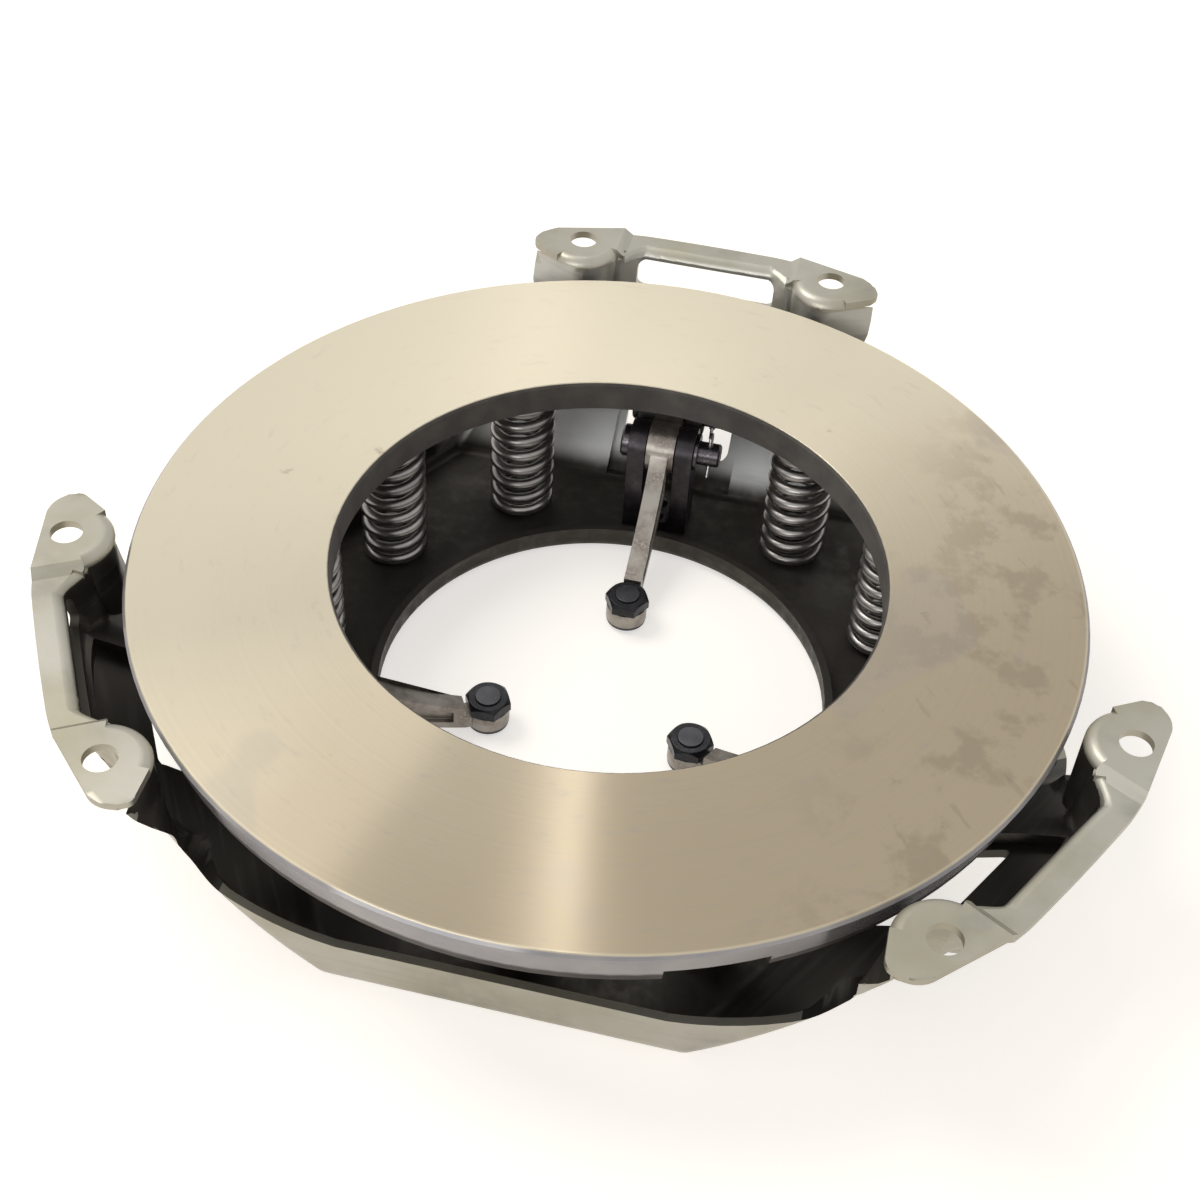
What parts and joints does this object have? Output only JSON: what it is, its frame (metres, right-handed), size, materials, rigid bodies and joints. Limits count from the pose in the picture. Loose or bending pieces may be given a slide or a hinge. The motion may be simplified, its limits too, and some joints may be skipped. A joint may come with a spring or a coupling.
{
  "type": "clutch pressure plate",
  "caption": "Round friction ring in a lobed pressed-steel cover, with coil springs and radial release levers that pull the ring back.",
  "frame": {"origin": "centre of the bolt circle, on the plane where the cover's ears meet the flywheel", "axes": "+Z along the clutch's axis towards the flywheel, +Y along the axis of one lobe and its lever, +X across it"},
  "size_m": [0.3254, 0.3032, 0.0672],
  "materials": {
    "zinc_sheet": "dull zinc-plated pressed sheet",
    "cast_iron_turned": "turned friction face, as-cast sides",
    "spring_steel": "dark oiled spring wire",
    "forged_dark": "black forged steel",
    "forged_lever": "worn forged steel",
    "bush_steel": "plain ground steel",
    "black_nut": "black oxide",
    "screw_steel": "ground steel",
    "pin_steel": "dull steel"
  },
  "bodies": {
    "cover": {"clutch_cover": "zinc_sheet", "spring_1": "spring_steel", "spring_2": "spring_steel", "spring_3": "spring_steel", "spring_4": "spring_steel", "spring_5": "spring_steel", "spring_6": "spring_steel", "spring_7": "spring_steel", "spring_8": "spring_steel", "spring_9": "spring_steel", "lever_yoke_1": "forged_dark", "lever_yoke_2": "forged_dark", "lever_yoke_3": "forged_dark", "yoke_rivets": "pin_steel", "fulcrum_pin_1": "pin_steel", "fulcrum_pin_2": "pin_steel", "fulcrum_pin_3": "pin_steel", "fulcrum_washers": "pin_steel", "fulcrum_split_pins": "pin_steel"},
    "plate": {"pressure_plate": "cast_iron_turned", "plate_pin_1": "pin_steel", "plate_pin_2": "pin_steel", "plate_pin_3": "pin_steel", "plate_split_pins": "pin_steel"},
    "lever_1": {"release_lever_1": "forged_lever", "lever_bush_1": "bush_steel", "adjusting_screw_1": "screw_steel", "lock_nut_1": "black_nut"},
    "lever_2": {"release_lever_2": "forged_lever", "lever_bush_2": "bush_steel", "adjusting_screw_2": "screw_steel", "lock_nut_2": "black_nut"},
    "lever_3": {"release_lever_3": "forged_lever", "lever_bush_3": "bush_steel", "adjusting_screw_3": "screw_steel", "lock_nut_3": "black_nut"}
  },
  "joints": [
    {"name": "plate_slide", "type": "slide", "parent": "cover", "child": "plate", "axis": [0, 0, -1], "range_m": [0, 0.006], "stiffness_N_per_m": 60000, "springref_m": -0.01, "deforming": ["spring_1", "spring_2", "spring_3", "spring_4", "spring_5", "spring_6", "spring_7", "spring_8", "spring_9"]},
    {"name": "lever_1_hinge", "type": "hinge", "parent": "cover", "child": "lever_1", "pos_m": [0, 0.088, -0.0337], "axis": [-1, 0, 0], "range_deg": [0, 21.3]},
    {"name": "lever_2_hinge", "type": "hinge", "parent": "cover", "child": "lever_2", "pos_m": [-0.07621, -0.044, -0.0337], "axis": [0.5, -0.866, 0], "range_deg": [0, 21.3]},
    {"name": "lever_3_hinge", "type": "hinge", "parent": "cover", "child": "lever_3", "pos_m": [0.07621, -0.044, -0.0337], "axis": [0.5, 0.866, 0], "range_deg": [0, 21.3]}
  ],
  "couplings": [
    {"joint": "lever_1_hinge", "follows": "plate_slide", "rad_per_m": 61.78},
    {"joint": "lever_2_hinge", "follows": "plate_slide", "rad_per_m": 61.78},
    {"joint": "lever_3_hinge", "follows": "plate_slide", "rad_per_m": 61.78}
  ]
}
